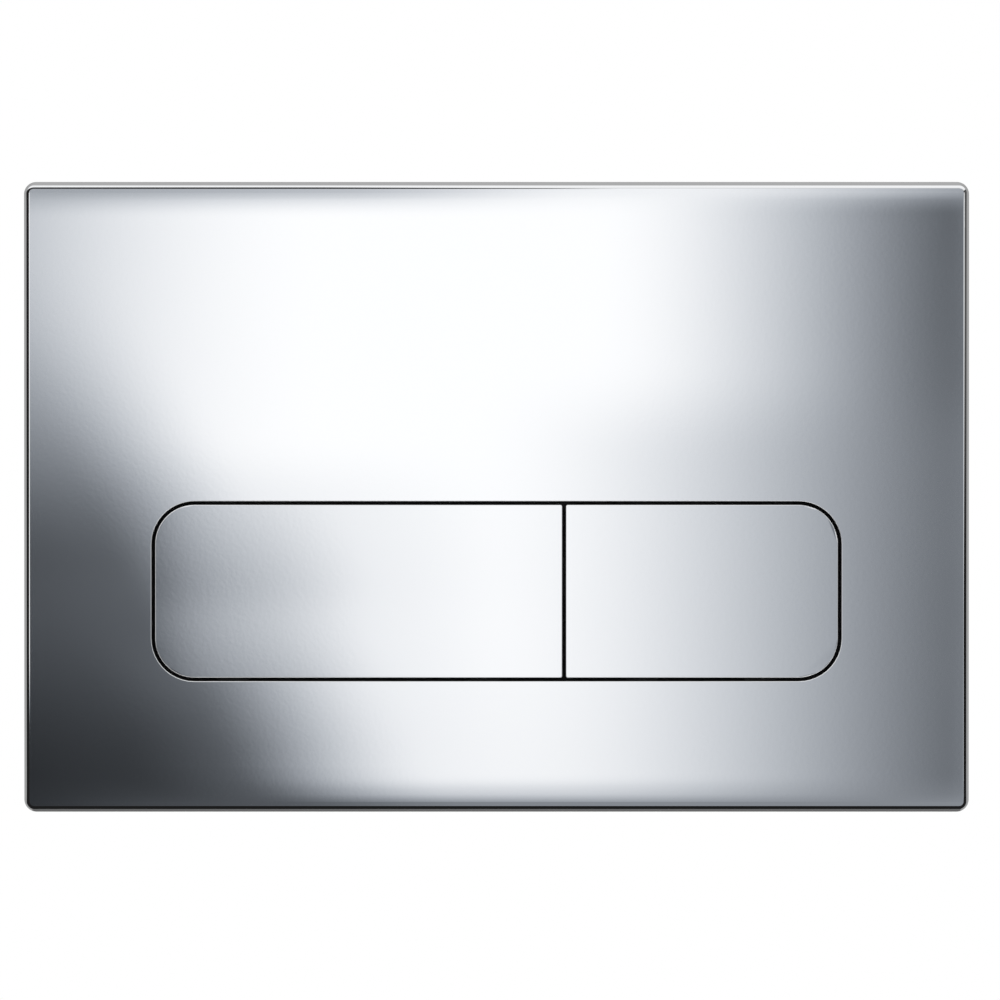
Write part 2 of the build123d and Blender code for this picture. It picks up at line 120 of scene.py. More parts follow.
def noise(tree, scale, detail, stretch=(1, 1, 1)):
    mapping = {"Vector": ownPlace(tree), "Scale": stretch}
    mapped = addNode(tree, "ShaderNodeMapping", mapping).outputs[0]
    inputs = {"Vector": mapped, "Scale": scale, "Detail": detail}
    return addNode(tree, "ShaderNodeTexNoise", inputs).outputs[0]


def newMaterial(name, metallic=0.0):
    material = bpy.data.materials.new(name)
    material.use_nodes = True
    shader = material.node_tree.nodes["Principled BSDF"]
    shader.inputs["Metallic"].default_value = metallic
    return material, material.node_tree, shader


def grained(tree, shader, height, depth, strength):
    inputs = {"Height": height, "Distance": depth, "Strength": strength}
    bump = addNode(tree, "ShaderNodeBump", inputs)
    tree.links.new(bump.outputs[0], shader.inputs["Normal"])
    return bump


def paint(piece, material):
    piece.data.materials.clear()
    piece.data.materials.append(material)


# chrome on plate and buttons; each span is where one finish fades into the other
chrome = {
    "colour": (0.775, 0.78, 0.79),
    "haze": (0.765, 0.775, 0.79),
    "hazeScale": 14.0,
    "hazeDetail": 5.0,
    "hazeSpan": (0.3, 0.7),
    "roughness": (0.03, 0.055),
    "peelScale": 900.0,
    "peelDetail": 2.0,
    "peelDepth": 0.000002,
    "peelStrength": 0.5,
    "bare": (0.02, 0.02, 0.022),  # sides of the buttons, masked from plating
    "bareRoughness": 0.5,
    "bareSpan": (-0.0105, -0.0104),
    "satin": (0.6, 0.61, 0.62),  # the plate's hollow rear, plated over an unpolished moulding
    "satinRoughness": 0.34,
    "hollowSpan": (-0.01, -0.0098),
    "hollowReach": (0.1207, 0.0797),  # half width and height of the hollow
    "hollowStep": 0.0002,
    "rearEdgeSpan": (-0.0003, -0.0001),
}


def hollowMask(tree):
    # 1 on the plate's hollow rear and the shell's rear edge, 0 on its face and sides
    x, y, z = ownAxes(tree)
    mask = fade(tree, y, *chrome["hollowSpan"])
    for axis, reach in zip((x, z), chrome["hollowReach"]):
        away = calc(tree, "ABSOLUTE", axis)
        within = fade(tree, away, reach, reach + chrome["hollowStep"], 1.0, 0.0)
        mask = calc(tree, "MULTIPLY", mask, within)
    return calc(tree, "MAXIMUM", mask, fade(tree, y, *chrome["rearEdgeSpan"]))


def chromeMaterial(name, isButton=False, height=None):
    material, tree, shader = newMaterial(name, metallic=1.0)
    haze = noise(tree, chrome["hazeScale"], chrome["hazeDetail"])
    colour = blendColour(tree, haze, chrome["colour"], chrome["haze"])
    roughness = fade(tree, haze, *chrome["hazeSpan"], *chrome["roughness"])
    if isButton:
        other, mask = "bare", fade(tree, ownAxes(tree)[1], *chrome["bareSpan"])
        tree.links.new(calc(tree, "SUBTRACT", 1.0, mask), shader.inputs["Metallic"])
    else:
        other, mask = "satin", hollowMask(tree)
    colour = blendColour(tree, mask, colour, chrome[other])
    roughness = blend(tree, mask, roughness, chrome[other + "Roughness"])
    tree.links.new(colour, shader.inputs["Base Color"])
    tree.links.new(roughness, shader.inputs["Roughness"])
    peel = noise(tree, chrome["peelScale"], chrome["peelDetail"])
    bump = grained(tree, shader, peel, chrome["peelDepth"], chrome["peelStrength"])
    if height:
        inputs = {"Height": height(tree), "Distance": 1.0, "Strength": 1.0}
        crown = addNode(tree, "ShaderNodeBump", inputs)
        tree.links.new(crown.outputs[0], bump.inputs["Normal"])
    return material


# the wide button is moulded a touch hollow, which bends its reflection
largeCrown = {
    "left": -0.083,
    "right": 0.011,
    "rise": 0.0006,  # from left to right
    "middle": -0.0273,
    "valley": 0.008,  # how wide the bottom of the hollow is rounded
    "dish": 0.0078,
    "lean": -0.0018,
}


def crownHeight(tree):
    x, _, z = ownAxes(tree)
    ends = (largeCrown["left"], largeCrown["right"], 0.0, largeCrown["rise"])
    rise = fade(tree, x, *ends, curve="SMOOTHERSTEP")
    offset = calc(tree, "SUBTRACT", z, largeCrown["middle"])
    square = calc(tree, "MULTIPLY", offset, offset)
    slope = calc(tree, "SQRT", calc(tree, "ADD", square, largeCrown["valley"] ** 2))
    dish = calc(tree, "MULTIPLY", slope, largeCrown["dish"])
    lean = calc(tree, "MULTIPLY", x, largeCrown["lean"])
    return calc(tree, "ADD", calc(tree, "ADD", rise, dish), lean)


paint(nodes["front_plate"], chromeMaterial("chromePlate"))
paint(nodes["large_button"], chromeMaterial("chromeLargeButton", True, crownHeight))
paint(nodes["small_button"], chromeMaterial("chromeSmallButton", True))
print("chrome set")


# moulded plastics and rubber
moulded = {
    "cloudScale": 60.0,
    "cloudDetail": 4.0,
    "cloudSpan": (0.3, 0.7),
    "grainDetail": 2.0,
    "grainStrength": 0.6,
}
plastics = {
    "blackPlastic": {
        "colours": ((0.022, 0.022, 0.024), (0.032, 0.032, 0.034)),
        "roughness": (0.42, 0.55),
        "grain": 2600.0,
        "depth": 0.00003,
    },
    "greyPlastic": {
        "colours": ((0.50, 0.51, 0.52), (0.54, 0.55, 0.56)),
        "roughness": (0.45, 0.6),
        "grain": 2200.0,
        "depth": 0.00003,
    },
    "rodPlastic": {
        "colours": ((0.78, 0.78, 0.75), (0.82, 0.82, 0.80)),
        "roughness": (0.3, 0.42),
        "grain": 500.0,
        "depth": 0.00001,
    },
    "guidePlastic": {
        "colours": ((0.03, 0.10, 0.26), (0.04, 0.12, 0.30)),
        "roughness": (0.3, 0.4),
        "grain": 700.0,
        "depth": 0.00001,
    },
    "rubber": {
        "colours": ((0.02, 0.02, 0.02), (0.04, 0.04, 0.04)),
        "roughness": (0.7, 0.85),
        "grain": 1500.0,
        "depth": 0.00003,
    },
}


def plasticMaterial(name):
    plastic = plastics[name]
    material, tree, shader = newMaterial(name)
    cloud = noise(tree, moulded["cloudScale"], moulded["cloudDetail"])
    colour = blendColour(tree, cloud, *plastic["colours"])
    roughness = fade(tree, cloud, *moulded["cloudSpan"], *plastic["roughness"])
    tree.links.new(colour, shader.inputs["Base Color"])
    tree.links.new(roughness, shader.inputs["Roughness"])
    grain = noise(tree, plastic["grain"], moulded["grainDetail"])
    grained(tree, shader, grain, plastic["depth"], moulded["grainStrength"])
    return material


# steel, with fine lines along the way it was worked
worked = {
    "lineScale": 300.0,
    "lineDetail": 4.0,
    "lineSpan": (0.25, 0.75),
    "lineDepth": 0.00001,
    "lineStrength": 0.5,
    "cloudScale": 90.0,
    "cloudDetail": 3.0,
}
steels = {
    "zincSteel": {
        "colours": ((0.60, 0.61, 0.62), (0.66, 0.64, 0.58)),
        "roughness": (0.25, 0.42),
        "stretch": (1, 4, 1),
    },
    "zincThread": {
        "colours": ((0.54, 0.55, 0.56), (0.6, 0.58, 0.53)),
        "roughness": (0.25, 0.4),
        "stretch": (1, 4, 1),
    },
    "pinSteel": {
        "colours": ((0.56, 0.56, 0.57), (0.6, 0.6, 0.6)),
        "roughness": (0.16, 0.3),
        "stretch": (12, 1, 1),
    },
    "springSteel": {
        "colours": ((0.5, 0.5, 0.52), (0.56, 0.56, 0.57)),
        "roughness": (0.22, 0.36),
        "stretch": (1, 1, 1),
    },
}
# the grooves of the wall screws' threads are darkened with painted shade
paintedGrooveShade = {
    "headRadius": 0.005,
    "root": 0.00246,
    "crest": 0.0029,
    "start": (0.0, 0.0005),
    "colour": (0.16, 0.155, 0.14),
}


def grooveShade(tree):
    # 1 at the bottom of the thread of either wall screw, 0 at its crest
    x, y, z = ownAxes(tree)
    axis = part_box("fixing_screws")[1].x - paintedGrooveShade["headRadius"]
    side = calc(tree, "SUBTRACT", calc(tree, "ABSOLUTE", x), axis)
    squares = calc(tree, "MULTIPLY", side, side), calc(tree, "MULTIPLY", z, z)
    radius = calc(tree, "SQRT", calc(tree, "ADD", *squares))
    depth = fade(tree, radius, paintedGrooveShade["root"], paintedGrooveShade["crest"], 1.0, 0.0)
    return calc(tree, "MULTIPLY", depth, fade(tree, y, *paintedGrooveShade["start"]))


def steelMaterial(name, shadedGrooves=False):
    steel = steels[name]
    material, tree, shader = newMaterial(name, metallic=1.0)
    lines = noise(tree, worked["lineScale"], worked["lineDetail"], steel["stretch"])
    cloud = noise(tree, worked["cloudScale"], worked["cloudDetail"])
    colour = blendColour(tree, cloud, *steel["colours"])
    if shadedGrooves:
        # painted shade in the thread roots of the wall screws
        colour = blendColour(tree, grooveShade(tree), colour, paintedGrooveShade["colour"])
    roughness = fade(tree, lines, *worked["lineSpan"], *steel["roughness"])
    tree.links.new(colour, shader.inputs["Base Color"])
    tree.links.new(roughness, shader.inputs["Roughness"])
    grained(tree, shader, lines, worked["lineDepth"], worked["lineStrength"])
    return material


zincThread = steelMaterial("zincThread", shadedGrooves=True)
finishes = {
    "black_plastic": plasticMaterial("blackPlastic"),
    "grey_plastic": plasticMaterial("greyPlastic"),
    "rod_plastic": plasticMaterial("rodPlastic"),
    "guide_plastic": plasticMaterial("guidePlastic"),
    "rubber": plasticMaterial("rubber"),
    "zinc_steel": steelMaterial("zincSteel"),
    "pin_steel": steelMaterial("pinSteel"),
    "spring_steel": steelMaterial("springSteel"),
}
for part in frame["record"]["subparts"]:
    if part["material_slot"] in finishes:
        paint(nodes[part["node"]], finishes[part["material_slot"]])
print("plastics and steel set")


# small helpers for meshes; a piece is drawn in millimetres about its own Y axis

def ringPoint(radius, angle, y):
    return (radius * math.cos(angle), y, radius * math.sin(angle))


def eased(profile, radius, steps=4):
    # rounds the inner corners of a profile
    points = [Vector(point) for point in profile]
    result = [points[0]]
    for before, corner, after in zip(points, points[1:], points[2:]):
        back, ahead = before - corner, after - corner
        reach = min(radius, back.length / 2, ahead.length / 2)
        start = corner + back.normalized() * reach
        end = corner + ahead.normalized() * reach
        for step in range(steps + 1):
            share = step / steps
            bend = corner * (2 * share * (1 - share))
            result.append(start * (1 - share) ** 2 + bend + end * share ** 2)
    return result + [points[-1]]


def joinRings(form, first, second, count):
    # a ring of one point makes a closed end
    for i in range(count):
        j = (i + 1) % count
        corners = [first[i % len(first)], first[j % len(first)]]
        corners += [second[j % len(second)], second[i % len(second)]]
        form.faces.new(list(dict.fromkeys(corners)))


def turned(form, profile, count=48, closed=False):
    # spins (radius, y) points about the axis; a radius of 0 closes the end
    rings = []
    for radius, y in profile:
        angles = [math.tau * i / count for i in range(count)] if radius > 0 else [0.0]
        rings.append([form.verts.new(ringPoint(radius, angle, y)) for angle in angles])
    for first, second in zip(rings, rings[1:] + rings[:1] if closed else rings[1:]):
        joinRings(form, first, second, count)


def threaded(form, thread, steps=40, weldGap=0.001):
    # one helical strip, with the ends cut square and chamfered
    root, crest, pitch = thread["root"], thread["crest"], thread["pitch"]
    start, end = thread["span"]
    low, rise, high = thread["shares"]  # root flat, end of the flank, end of the crest
    shape = ((0.0, root), (low, root), (rise, crest), (high, crest))
    count = int((end - start) / pitch + 2) * steps
    rows = []
    for i in range(count + 1):
        base = start + pitch * (i / steps - 1)
        row = []
        for share, radius in shape:
            y = min(max(base + pitch * share, start), end)
            limit = min(root + y - start, crest - thread["chamfer"] + end - y)
            row.append(form.verts.new(ringPoint(min(radius, limit), math.tau * i / steps, y)))
        rows.append(row)
    for i in range(count):
        row, after = rows[i], rows[i + 1]
        for k in range(len(shape) - 1):
            form.faces.new((row[k], after[k], after[k + 1], row[k + 1]))
        if i + 1 + steps <= count:  # over to the next turn
            form.faces.new((row[-1], after[-1], rows[i + 1 + steps][0], rows[i + steps][0]))
    bmesh.ops.remove_doubles(form, verts=form.verts, dist=weldGap)
    bmesh.ops.holes_fill(form, edges=[edge for edge in form.edges if edge.is_boundary])


def rawMesh(name, form):
    mesh = bpy.data.meshes.new(name)
    form.to_mesh(mesh)
    form.free()
    return mesh


def cutAway(mesh, cutter):
    stock = bpy.data.objects.new("stock", mesh)
    tool = bpy.data.objects.new("tool", cutter)
    for thing in (stock, tool):
        scene.collection.objects.link(thing)
    cut = stock.modifiers.new("cut", "BOOLEAN")
    cut.object = tool
    cut.solver = "EXACT"
    graph = bpy.context.evaluated_depsgraph_get()
    result = bpy.data.meshes.new_from_object(stock.evaluated_get(graph))
    for thing in (stock, tool):
        bpy.data.objects.remove(thing)
    return result


def tapered(name, halfLength, halfWidth, top, bottom, taper):
    # a bar along X, narrower at its bottom
    form = bmesh.new()
    bmesh.ops.create_cube(form, size=2.0)
    for vert in form.verts:
        isTop = vert.co.y > 0
        share = 1.0 if isTop else taper
        x, z = vert.co.x * halfLength * share, vert.co.z * halfWidth * share
        vert.co = (x, top if isTop else bottom, z)
    return rawMesh(name, form)


def addPiece(name, form, places, slotName, body, node, turn=None, smooth=32.0):
    # copies the drawn form to each place, hangs it on its body and hides the node it stands in for
    bmesh.ops.recalc_face_normals(form, faces=form.faces)
    if turn:
        bmesh.ops.transform(form, matrix=turn, verts=form.verts)
    bmesh.ops.scale(form, vec=(mm, mm, mm), verts=form.verts)
    single = rawMesh(name, form)
    form = bmesh.new()
    for place in places:
        start = len(form.verts)
        form.from_mesh(single)
        form.verts.ensure_lookup_table()
        bmesh.ops.translate(form, vec=Vector(place), verts=form.verts[start:])
    mesh = rawMesh(name, form)
    bpy.data.meshes.remove(single)
    mesh.shade_smooth()
    mesh.set_sharp_from_angle(angle=math.radians(smooth))
    mesh.materials.append(finishes[slotName])
    piece = bpy.data.objects.new(name, mesh)
    scene.collection.objects.link(piece)
    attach(piece, body)
    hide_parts(node)
    return piece


def solidBoxes(node, weldGap=1e-7):
    # lowest and highest corner of each separate solid of a node
    form = bmesh.new()
    form.from_mesh(nodes[node].data)
    bmesh.ops.remove_doubles(form, verts=form.verts, dist=weldGap)
    boxes, seen = [], set()
    for vert in form.verts:
        if vert in seen:
            continue
        island, front = {vert}, [vert]
        while front:
            for edge in front.pop().link_edges:
                for other in edge.verts:
                    if other not in island:
                        island.add(other)
                        front.append(other)
        seen |= island
        low, high = (
            Vector([pick(point.co[axis] for point in island) for axis in range(3)])
            for pick in (min, max)
        )
        boxes.append((low, high))
    form.free()
    return boxes


def onAxis(box):
    # a piece's own axis in the wall plane
    low, high = box
    return ((low.x + high.x) / 2, 0.0, (low.z + high.z) / 2)


# wall screws: slotted cheese head, plain neck, rolled thread
wallScrew = {
    "head": [(0, -6.6), (5, -6.6), (5, -4), (2.6, -4), (2.6, 0.2), (0, 0.2)],
    "ease": 0.45,
    "slot": {"halfLength": 6.0, "halfWidth": 0.7, "top": -7.0, "bottom": -5.4, "taper": 1.0},
    "thread": {
        "root": 2.46,
        "crest": 3.0,
        "pitch": 1.0,
        "span": (0.0, 48.0),
        "shares": (0.22, 0.54, 0.68),
        "chamfer": 0.8,
    },
}


def buildWallScrews():
    form = bmesh.new()
    turned(form, eased(wallScrew["head"], wallScrew["ease"]))
    cutter = tapered("slotCutter", **wallScrew["slot"])
    head = cutAway(rawMesh("wallScrewHead", form), cutter)
    form = bmesh.new()
    threaded(form, wallScrew["thread"])
    form.from_mesh(head)
    places = [onAxis(box) for box in solidBoxes("fixing_screws")]
    screws = addPiece("wallScrews", form, places, "zinc_steel", "plate", "fixing_screws")
    paint(screws, zincThread)


# washers under their heads, pressed from strip: rolled over in front, nearly sharp behind
washer = {
    "front": [(3.2, -3.78), (3.42, -4), (5.648, -4), (5.912, -3.89), (6, -3.692)],
    "back": [(6, -3.066), (5.934, -3), (3.2, -3)],
}


def buildWashers():
    form = bmesh.new()
    turned(form, washer["front"] + washer["back"], closed=True)
    places = [onAxis(box) for box in solidBoxes("fixing_washers")]
    addPiece("wallWashers", form, places, "zinc_steel", "plate", "fixing_washers")


# carrier screws: pan head with a cross recess
carrierScrew = {
    "shank": [(0, -7.6), (0.9, -7.6), (1.35, -7.0), (1.35, -3)],
    "head": [(2.6, -3), (2.6, -2.2), (2.1, -1.45), (1.2, -1.2), (0, -1.2)],
    "ease": 0.3,
    "cross": {"halfLength": 1.55, "halfWidth": 0.42, "top": -0.9, "bottom": -2.5, "taper": 0.55},
    "crossAngles": (45, 135),
}


def buildCarrierScrews():
    form = bmesh.new()
    turned(form, eased(carrierScrew["shank"] + carrierScrew["head"], carrierScrew["ease"]))
    mesh = rawMesh("carrierScrew", form)
    for angle in carrierScrew["crossAngles"]:
        cutter = tapered("crossCutter", **carrierScrew["cross"])
        cutter.transform(Matrix.Rotation(math.radians(angle), 4, "Y"))
        mesh = cutAway(mesh, cutter)
    form = bmesh.new()
    form.from_mesh(mesh)
    places = [onAxis(box) for box in solidBoxes("carrier_screws")]
    addPiece("carrierScrews", form, places, "zinc_steel", "plate", "carrier_screws")


# push rods: flat head, plain shaft through the guide, coarse moulded thread behind it
pushRod = {
    "profile": [(0, -2.3), (6, -2.3), (6, 0.2), (3, 0.2), (3, 18.4), (2.4, 19), (0, 19)],
    "ease": 0.4,
    "thread": {
        "root": 2.4,
        "crest": 3.0,
        "pitch": 2.0,
        "span": (18.4, 52.7),
        "shares": (0.28, 0.48, 0.8),
        "chamfer": 0.8,
    },
}


def buildRod(name):
    form = bmesh.new()
    threaded(form, pushRod["thread"])
    turned(form, eased(pushRod["profile"], pushRod["ease"]))
    node = name + "_push_rod"
    place = onAxis(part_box(node))
    addPiece(name + "PushRod", form, [place], "rod_plastic", name + "_rod", node)


# hex nuts with both faces chamfered
rodNut = {
    "apothem": 5.0,
    "bore": 3.05,
    "front": 18.2,
    "back": 22.2,
    "chamferFrom": 4.75,
    "slope": 0.55,
    "count": 72,
    "smooth": 18.0,
}


def buildNut(name):
    form = bmesh.new()
    count, bore, chamferFrom = rodNut["count"], rodNut["bore"], rodNut["chamferFrom"]
    rings = []
    for y, way in ((rodNut["front"], 1), (rodNut["back"], -1)):
        rows = [[], [], []]
        for i in range(count):
            angle = math.tau * i / count
            hexAngle = (angle % (math.pi / 3)) - math.pi / 6
            flat = rodNut["apothem"] / math.cos(hexAngle)
            drop = max(flat - chamferFrom, 0) * rodNut["slope"]
            points = ((bore, y), (min(chamferFrom, flat), y), (flat, y + way * drop))
            for row, (radius, level) in zip(rows, points):
                row.append(form.verts.new(ringPoint(radius, angle, level)))
        rings.append(rows)
    loop = rings[0] + rings[1][::-1]
    for first, second in zip(loop, loop[1:] + loop[:1]):
        joinRings(form, first, second, count)
    node = name + "_rod_nut"
    place, smooth = onAxis(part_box(node)), rodNut["smooth"]
    addPiece(name + "RodNut", form, [place], "guide_plastic", name + "_rod", node, smooth=smooth)


# return springs, closed and ground at both ends
spring = {
    "radius": 4.5,
    "wire": 0.4,
    "front": 0.2,
    "back": 9.0,
    "turns": 5,
    "ground": 0.15,
    "softShare": 0.35,  # how much of the climb eases in and out
    "steps": 48,
    "sides": 12,
    "smooth": 50.0,
}


def springLevel(turn):
    # the wire's level after so many turns; the first and the last lie closed
    wire, ground, turns = spring["wire"], spring["ground"], spring["turns"]
    start, end = spring["front"] + wire - ground, spring["back"] - wire + ground
    rise = end - start - 4 * wire  # what the open turns climb
    opened = min(max(turn - 1, 0), turns - 2) / (turns - 2)
    closed = min(turn, 1) + max(turn - turns + 1, 0)
    soft = spring["softShare"]
    climb = opened ** 2 * (3 - 2 * opened) * soft + opened * (1 - soft)
    return start + rise * climb + closed * 2 * wire


def buildSpring(name):
    form = bmesh.new()
    steps, sides, wire = spring["steps"], spring["sides"], spring["wire"]
    rows = []
    for i in range(spring["turns"] * steps + 1):
        turn = i / steps
        row = []
        for k in range(sides):
            around = math.tau * k / sides
            radius = spring["radius"] + wire * math.cos(around)
            level = springLevel(turn) + wire * math.sin(around)
            level = min(max(level, spring["front"]), spring["back"])
            row.append(form.verts.new(ringPoint(radius, math.tau * turn, level)))
        rows.append(row)
    for first, second in zip(rows, rows[1:]):
        joinRings(form, first, second, sides)
    form.faces.new(rows[0])
    form.faces.new(rows[-1][::-1])
    node = name + "_return_spring"
    place, smooth = onAxis(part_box(node)), spring["smooth"]
    title = name + "ReturnSpring"
    piece = addPiece(title, form, [place], "spring_steel", "plate", node, smooth=smooth)
    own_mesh(piece)


# hinge pins, ground with a small chamfer
hingePin = {"radius": 1.5, "chamfer": 0.35, "count": 32}


def buildPin(name):
    node = name + "_hinge_pin"
    radius, chamfer = hingePin["radius"], hingePin["chamfer"]
    alongX = Matrix.Rotation(math.pi / 2, 4, "Z")
    for number, (low, high) in enumerate(solidBoxes(node)):
        end = (high.x - low.x) / mm / 2
        half = [(radius, end - chamfer), (radius - chamfer, end), (0, end)]
        form = bmesh.new()
        turned(form, [(r, -y) for r, y in half[::-1]] + half, hingePin["count"])
        title, middle = f"{name}HingePin{number or ''}", (low + high) / 2
        addPiece(title, form, [middle], "pin_steel", "plate", node, turn=alongX)


# rubber stop pads with soft edges
stopPad = {"ease": 0.25, "segments": 3, "profile": 0.5}


def buildPads(name):
    node = name + "_stop_pads"
    boxes = solidBoxes(node)
    size = (boxes[0][1] - boxes[0][0]) / mm
    form = bmesh.new()
    bmesh.ops.create_cube(form, size=1.0)
    bmesh.ops.scale(form, vec=size, verts=form.verts)
    soft = {key: stopPad[key] for key in ("segments", "profile")}
    bmesh.ops.bevel(form, geom=form.edges[:], offset=stopPad["ease"], affect="EDGES", **soft)
    places = [(low + high) / 2 for low, high in boxes]
    addPiece(name + "StopPads", form, places, "rubber", "plate", node)


buildWallScrews()
buildWashers()
buildCarrierScrews()
for name in ("large", "small"):
    buildRod(name)
    buildNut(name)
    buildSpring(name)
    buildPin(name)
    buildPads(name)
print("screws, rods, springs, pins and pads built")


# plated faces run into each other without a break
platedFaces = {
    "nodes": ("front_plate", "large_button", "small_button"),
    "weld": 1e-6,
    "hardAngle": 50,
    "weight": 50,
}
for node in platedFaces["nodes"]:
    change = nodes[node].modifiers.new
    change("weld", "WELD").merge_threshold = platedFaces["weld"]
    change("hardEdges", "EDGE_SPLIT").split_angle = math.radians(platedFaces["hardAngle"])
    change("evenFaces", "WEIGHTED_NORMAL").weight = platedFaces["weight"]

# moulded edges of carrier, frame and guides are broken a little
brokenEdges = {
    "widths": {
        "button_carrier": 0.2,
        "mounting_frame": 0.25,
        "large_rod_guide": 0.2,
        "small_rod_guide": 0.2,
    },
    "weld": 1e-6,
    "segments": 2,
    "angle": 40,
    "weight": 100,
}
for node, width in brokenEdges["widths"].items():
    change = nodes[node].modifiers.new
    change("weld", "WELD").merge_threshold = brokenEdges["weld"]
    bevel = change("brokenEdges", "BEVEL")
    bevel.width = width * mm
    bevel.segments = brokenEdges["segments"]
    bevel.limit_method = "ANGLE"
    bevel.angle_limit = math.radians(brokenEdges["angle"])
    bevel.use_clamp_overlap = False
    bevel.loop_slide = False
    change("evenFaces", "WEIGHTED_NORMAL").weight = brokenEdges["weight"]
print("edges eased")


# camera square to the face, a little above its middle
view = {
    "lens": 300.0,
    "sensor": 36.0,
    "clipEnd": 50.0,
    "place": (0.0009, -2.17, 0.024),
    "target": (0.0009, 0.0, -0.0008),
}


def aim(thing, place, target=(0, 0, 0)):
    thing.location = place
    way = Vector(target) - Vector(place)
    thing.rotation_euler = way.to_track_quat("-Z", "Y").to_euler()


lens = bpy.data.cameras.new("camera")
lens.lens = view["lens"]
lens.sensor_width = view["sensor"]
lens.clip_end = view["clipEnd"]
camera = bpy.data.objects.new("camera", lens)
aim(camera, view["place"], view["target"])
scene.collection.objects.link(camera)
scene.camera = camera
print("camera set")


# stage: a card, a flag or the floor, seen only as far as asked

def stageSheet(name, corners, material, mirrorOnly=True, faces=None):
    mesh = bpy.data.meshes.new(name)
    mesh.from_pydata(corners, [], faces or [tuple(range(len(corners)))])
    mesh.materials.append(material)
    sheet = bpy.data.objects.new(name, mesh)
    scene.collection.objects.link(sheet)
    if mirrorOnly:
        sheet.visible_camera = False
        sheet.visible_diffuse = False
        sheet.visible_shadow = False
        sheet.visible_transmission = False
    return sheet


def glowMaterial(name):
    material = bpy.data.materials.new(name)
    material.use_nodes = True
    tree = material.node_tree
    tree.nodes.clear()
    glow = addNode(tree, "ShaderNodeEmission")
    addNode(tree, "ShaderNodeOutputMaterial", {"Surface": glow.outputs[0]})
    return material, tree, glow


def thinOut(tree, shader, share):
    # lets a sheet turn clear where the share is 1
    clear = addNode(tree, "ShaderNodeBsdfTransparent").outputs[0]
    mix = addNode(tree, "ShaderNodeMixShader", {0: share, 1: shader.outputs[0], 2: clear})
    tree.links.new(mix.outputs[0], tree.nodes["Material Output"].inputs["Surface"])


def uprightCard(name, material, tree, glow, size):
    # a card with soft ends, standing on the XZ plane
    wide, tall, soft = size["halfWidth"], size["halfHeight"], size["softEdge"]
    x, _, z = ownAxes(tree)
    ends = []
    for axis, half in ((x, wide), (z, tall)):
        ends.append(fade(tree, calc(tree, "ABSOLUTE", axis), half - soft, half))
    thinOut(tree, glow, calc(tree, "MAXIMUM", *ends))
    corners = [(-wide, 0, -tall), (wide, 0, -tall), (wide, 0, tall), (-wide, 0, tall)]
    return stageSheet(name, corners, material)


# the glowing front card that the face mirrors, drawn in the plate's own millimetres; its tones are
# a painted reflection, with a painted shadow at the lower left
card = {
    "distance": 1.0,
    "halfWidth": 0.36,
    "halfHeight": 0.37,
    "softEdge": 0.1,
    "reflectance": 0.78,
    "rightLow": (-6.9, 143.3),  # fall-off to the right, lower half
    "rightHigh": (25.5, 130.3),  # the same, upper half
    "change": (9.6, 35.5),  # where the two meet
    "rightFloor": 0.09,
    "rightLift": (116.5, 126.5, 0.0, 0.11),  # the face lightens again next to the rim
    "rightStrip": (135.0, 160.0, 0.0, 0.3),  # light strip that only the rim sees
    "leftStrip": (-126.0, -140.0, 0.0, 1.0),  # the same on the left, down to its end
    "leftStripEnd": (-40.0, -62.0, 1.0, 0.0),
    "leftEdge": (-128.5, -43.1),
    "leftDrop": 0.5,
    "shadowLine": (-109.0, -61.0),  # soft dark corner at the lower left
    "shadowHalo": (-94.8, 16.5),
    "haloShare": (17.0, -1.0, 0.0, 0.18),
    "shadowLow": (-108.0, -53.5),  # its edge at the bottom, which has a longer toe
    "shadowToe": (-135.0, -75.0),
    "toeShare": 0.15,
    "toeStart": (-30.0, -48.0),
    "shadowSlope": 0.56,
    "shadowEnd": (-66.0, 14.0),  # the slant turns nearly upright here
    "shadowLean": 0.13,
    "shadowTop": (71.0, -18.9),
    "shadowTone": 0.14,
    "shadowFoot": (-18.9, -72.0),
    "footShare": 0.35,
    "upper": (95.0, 225.0),  # what only the face's rolled top sees
    "upperRise": (-125.0, -25.0, 0.36, 0.57),
    "upperGlow": (-40.0, 28.0, 0.0, 0.33),
    "upperRight": (40.0, 150.0, 1.0, 0.3),
    "lower": (-85.0, -238.0, 0.0, 0.88),  # the same for its rolled bottom
    "lowerTone": (-125.0, 120.0, 0.03, 0.27),
    "coolTint": (0.875, 0.9625, 1.085),
}


def sideFall(tree, x, z):
    # bright middle that falls off to the right and a little to the left
    high = fade(tree, x, *card["rightHigh"], 1.0, card["rightFloor"])
    low = fade(tree, x, *card["rightLow"], 1.0, card["rightFloor"])
    right = blend(tree, fade(tree, z, *card["change"]), low, high)
    for rise in ("rightLift", "rightStrip"):
        right = calc(tree, "ADD", right, fade(tree, x, *card[rise]))
    near = fade(tree, x, *card["leftEdge"], 1.0, 0.0, "LINEAR")
    drop = calc(tree, "MULTIPLY", calc(tree, "POWER", near, 2.0), card["leftDrop"])
    return calc(tree, "MULTIPLY", right, calc(tree, "SUBTRACT", 1.0, drop))


def cornerShadow(tree, x, z):
    held = calc(tree, "SMOOTH_MAX", z, *card["shadowEnd"])
    held = blend(tree, card["shadowLean"], held, z)
    slant = calc(tree, "ADD", x, calc(tree, "MULTIPLY", held, card["shadowSlope"]))
    line, halo, low, toe = (
        fade(tree, slant, *card[key])
        for key in ("shadowLine", "shadowHalo", "shadowLow", "shadowToe")
    )
    low = blend(tree, card["toeShare"], low, toe)
    line = blend(tree, fade(tree, z, *card["toeStart"]), line, low)
    edge = blend(tree, fade(tree, z, *card["haloShare"]), line, halo)
    tail = fade(tree, z, *card["shadowTop"], 1.0, card["shadowTone"])
    foot = fade(tree, z, *card["shadowFoot"], 1.0, card["footShare"])
    return blend(tree, edge, calc(tree, "MULTIPLY", tail, foot), 1.0)


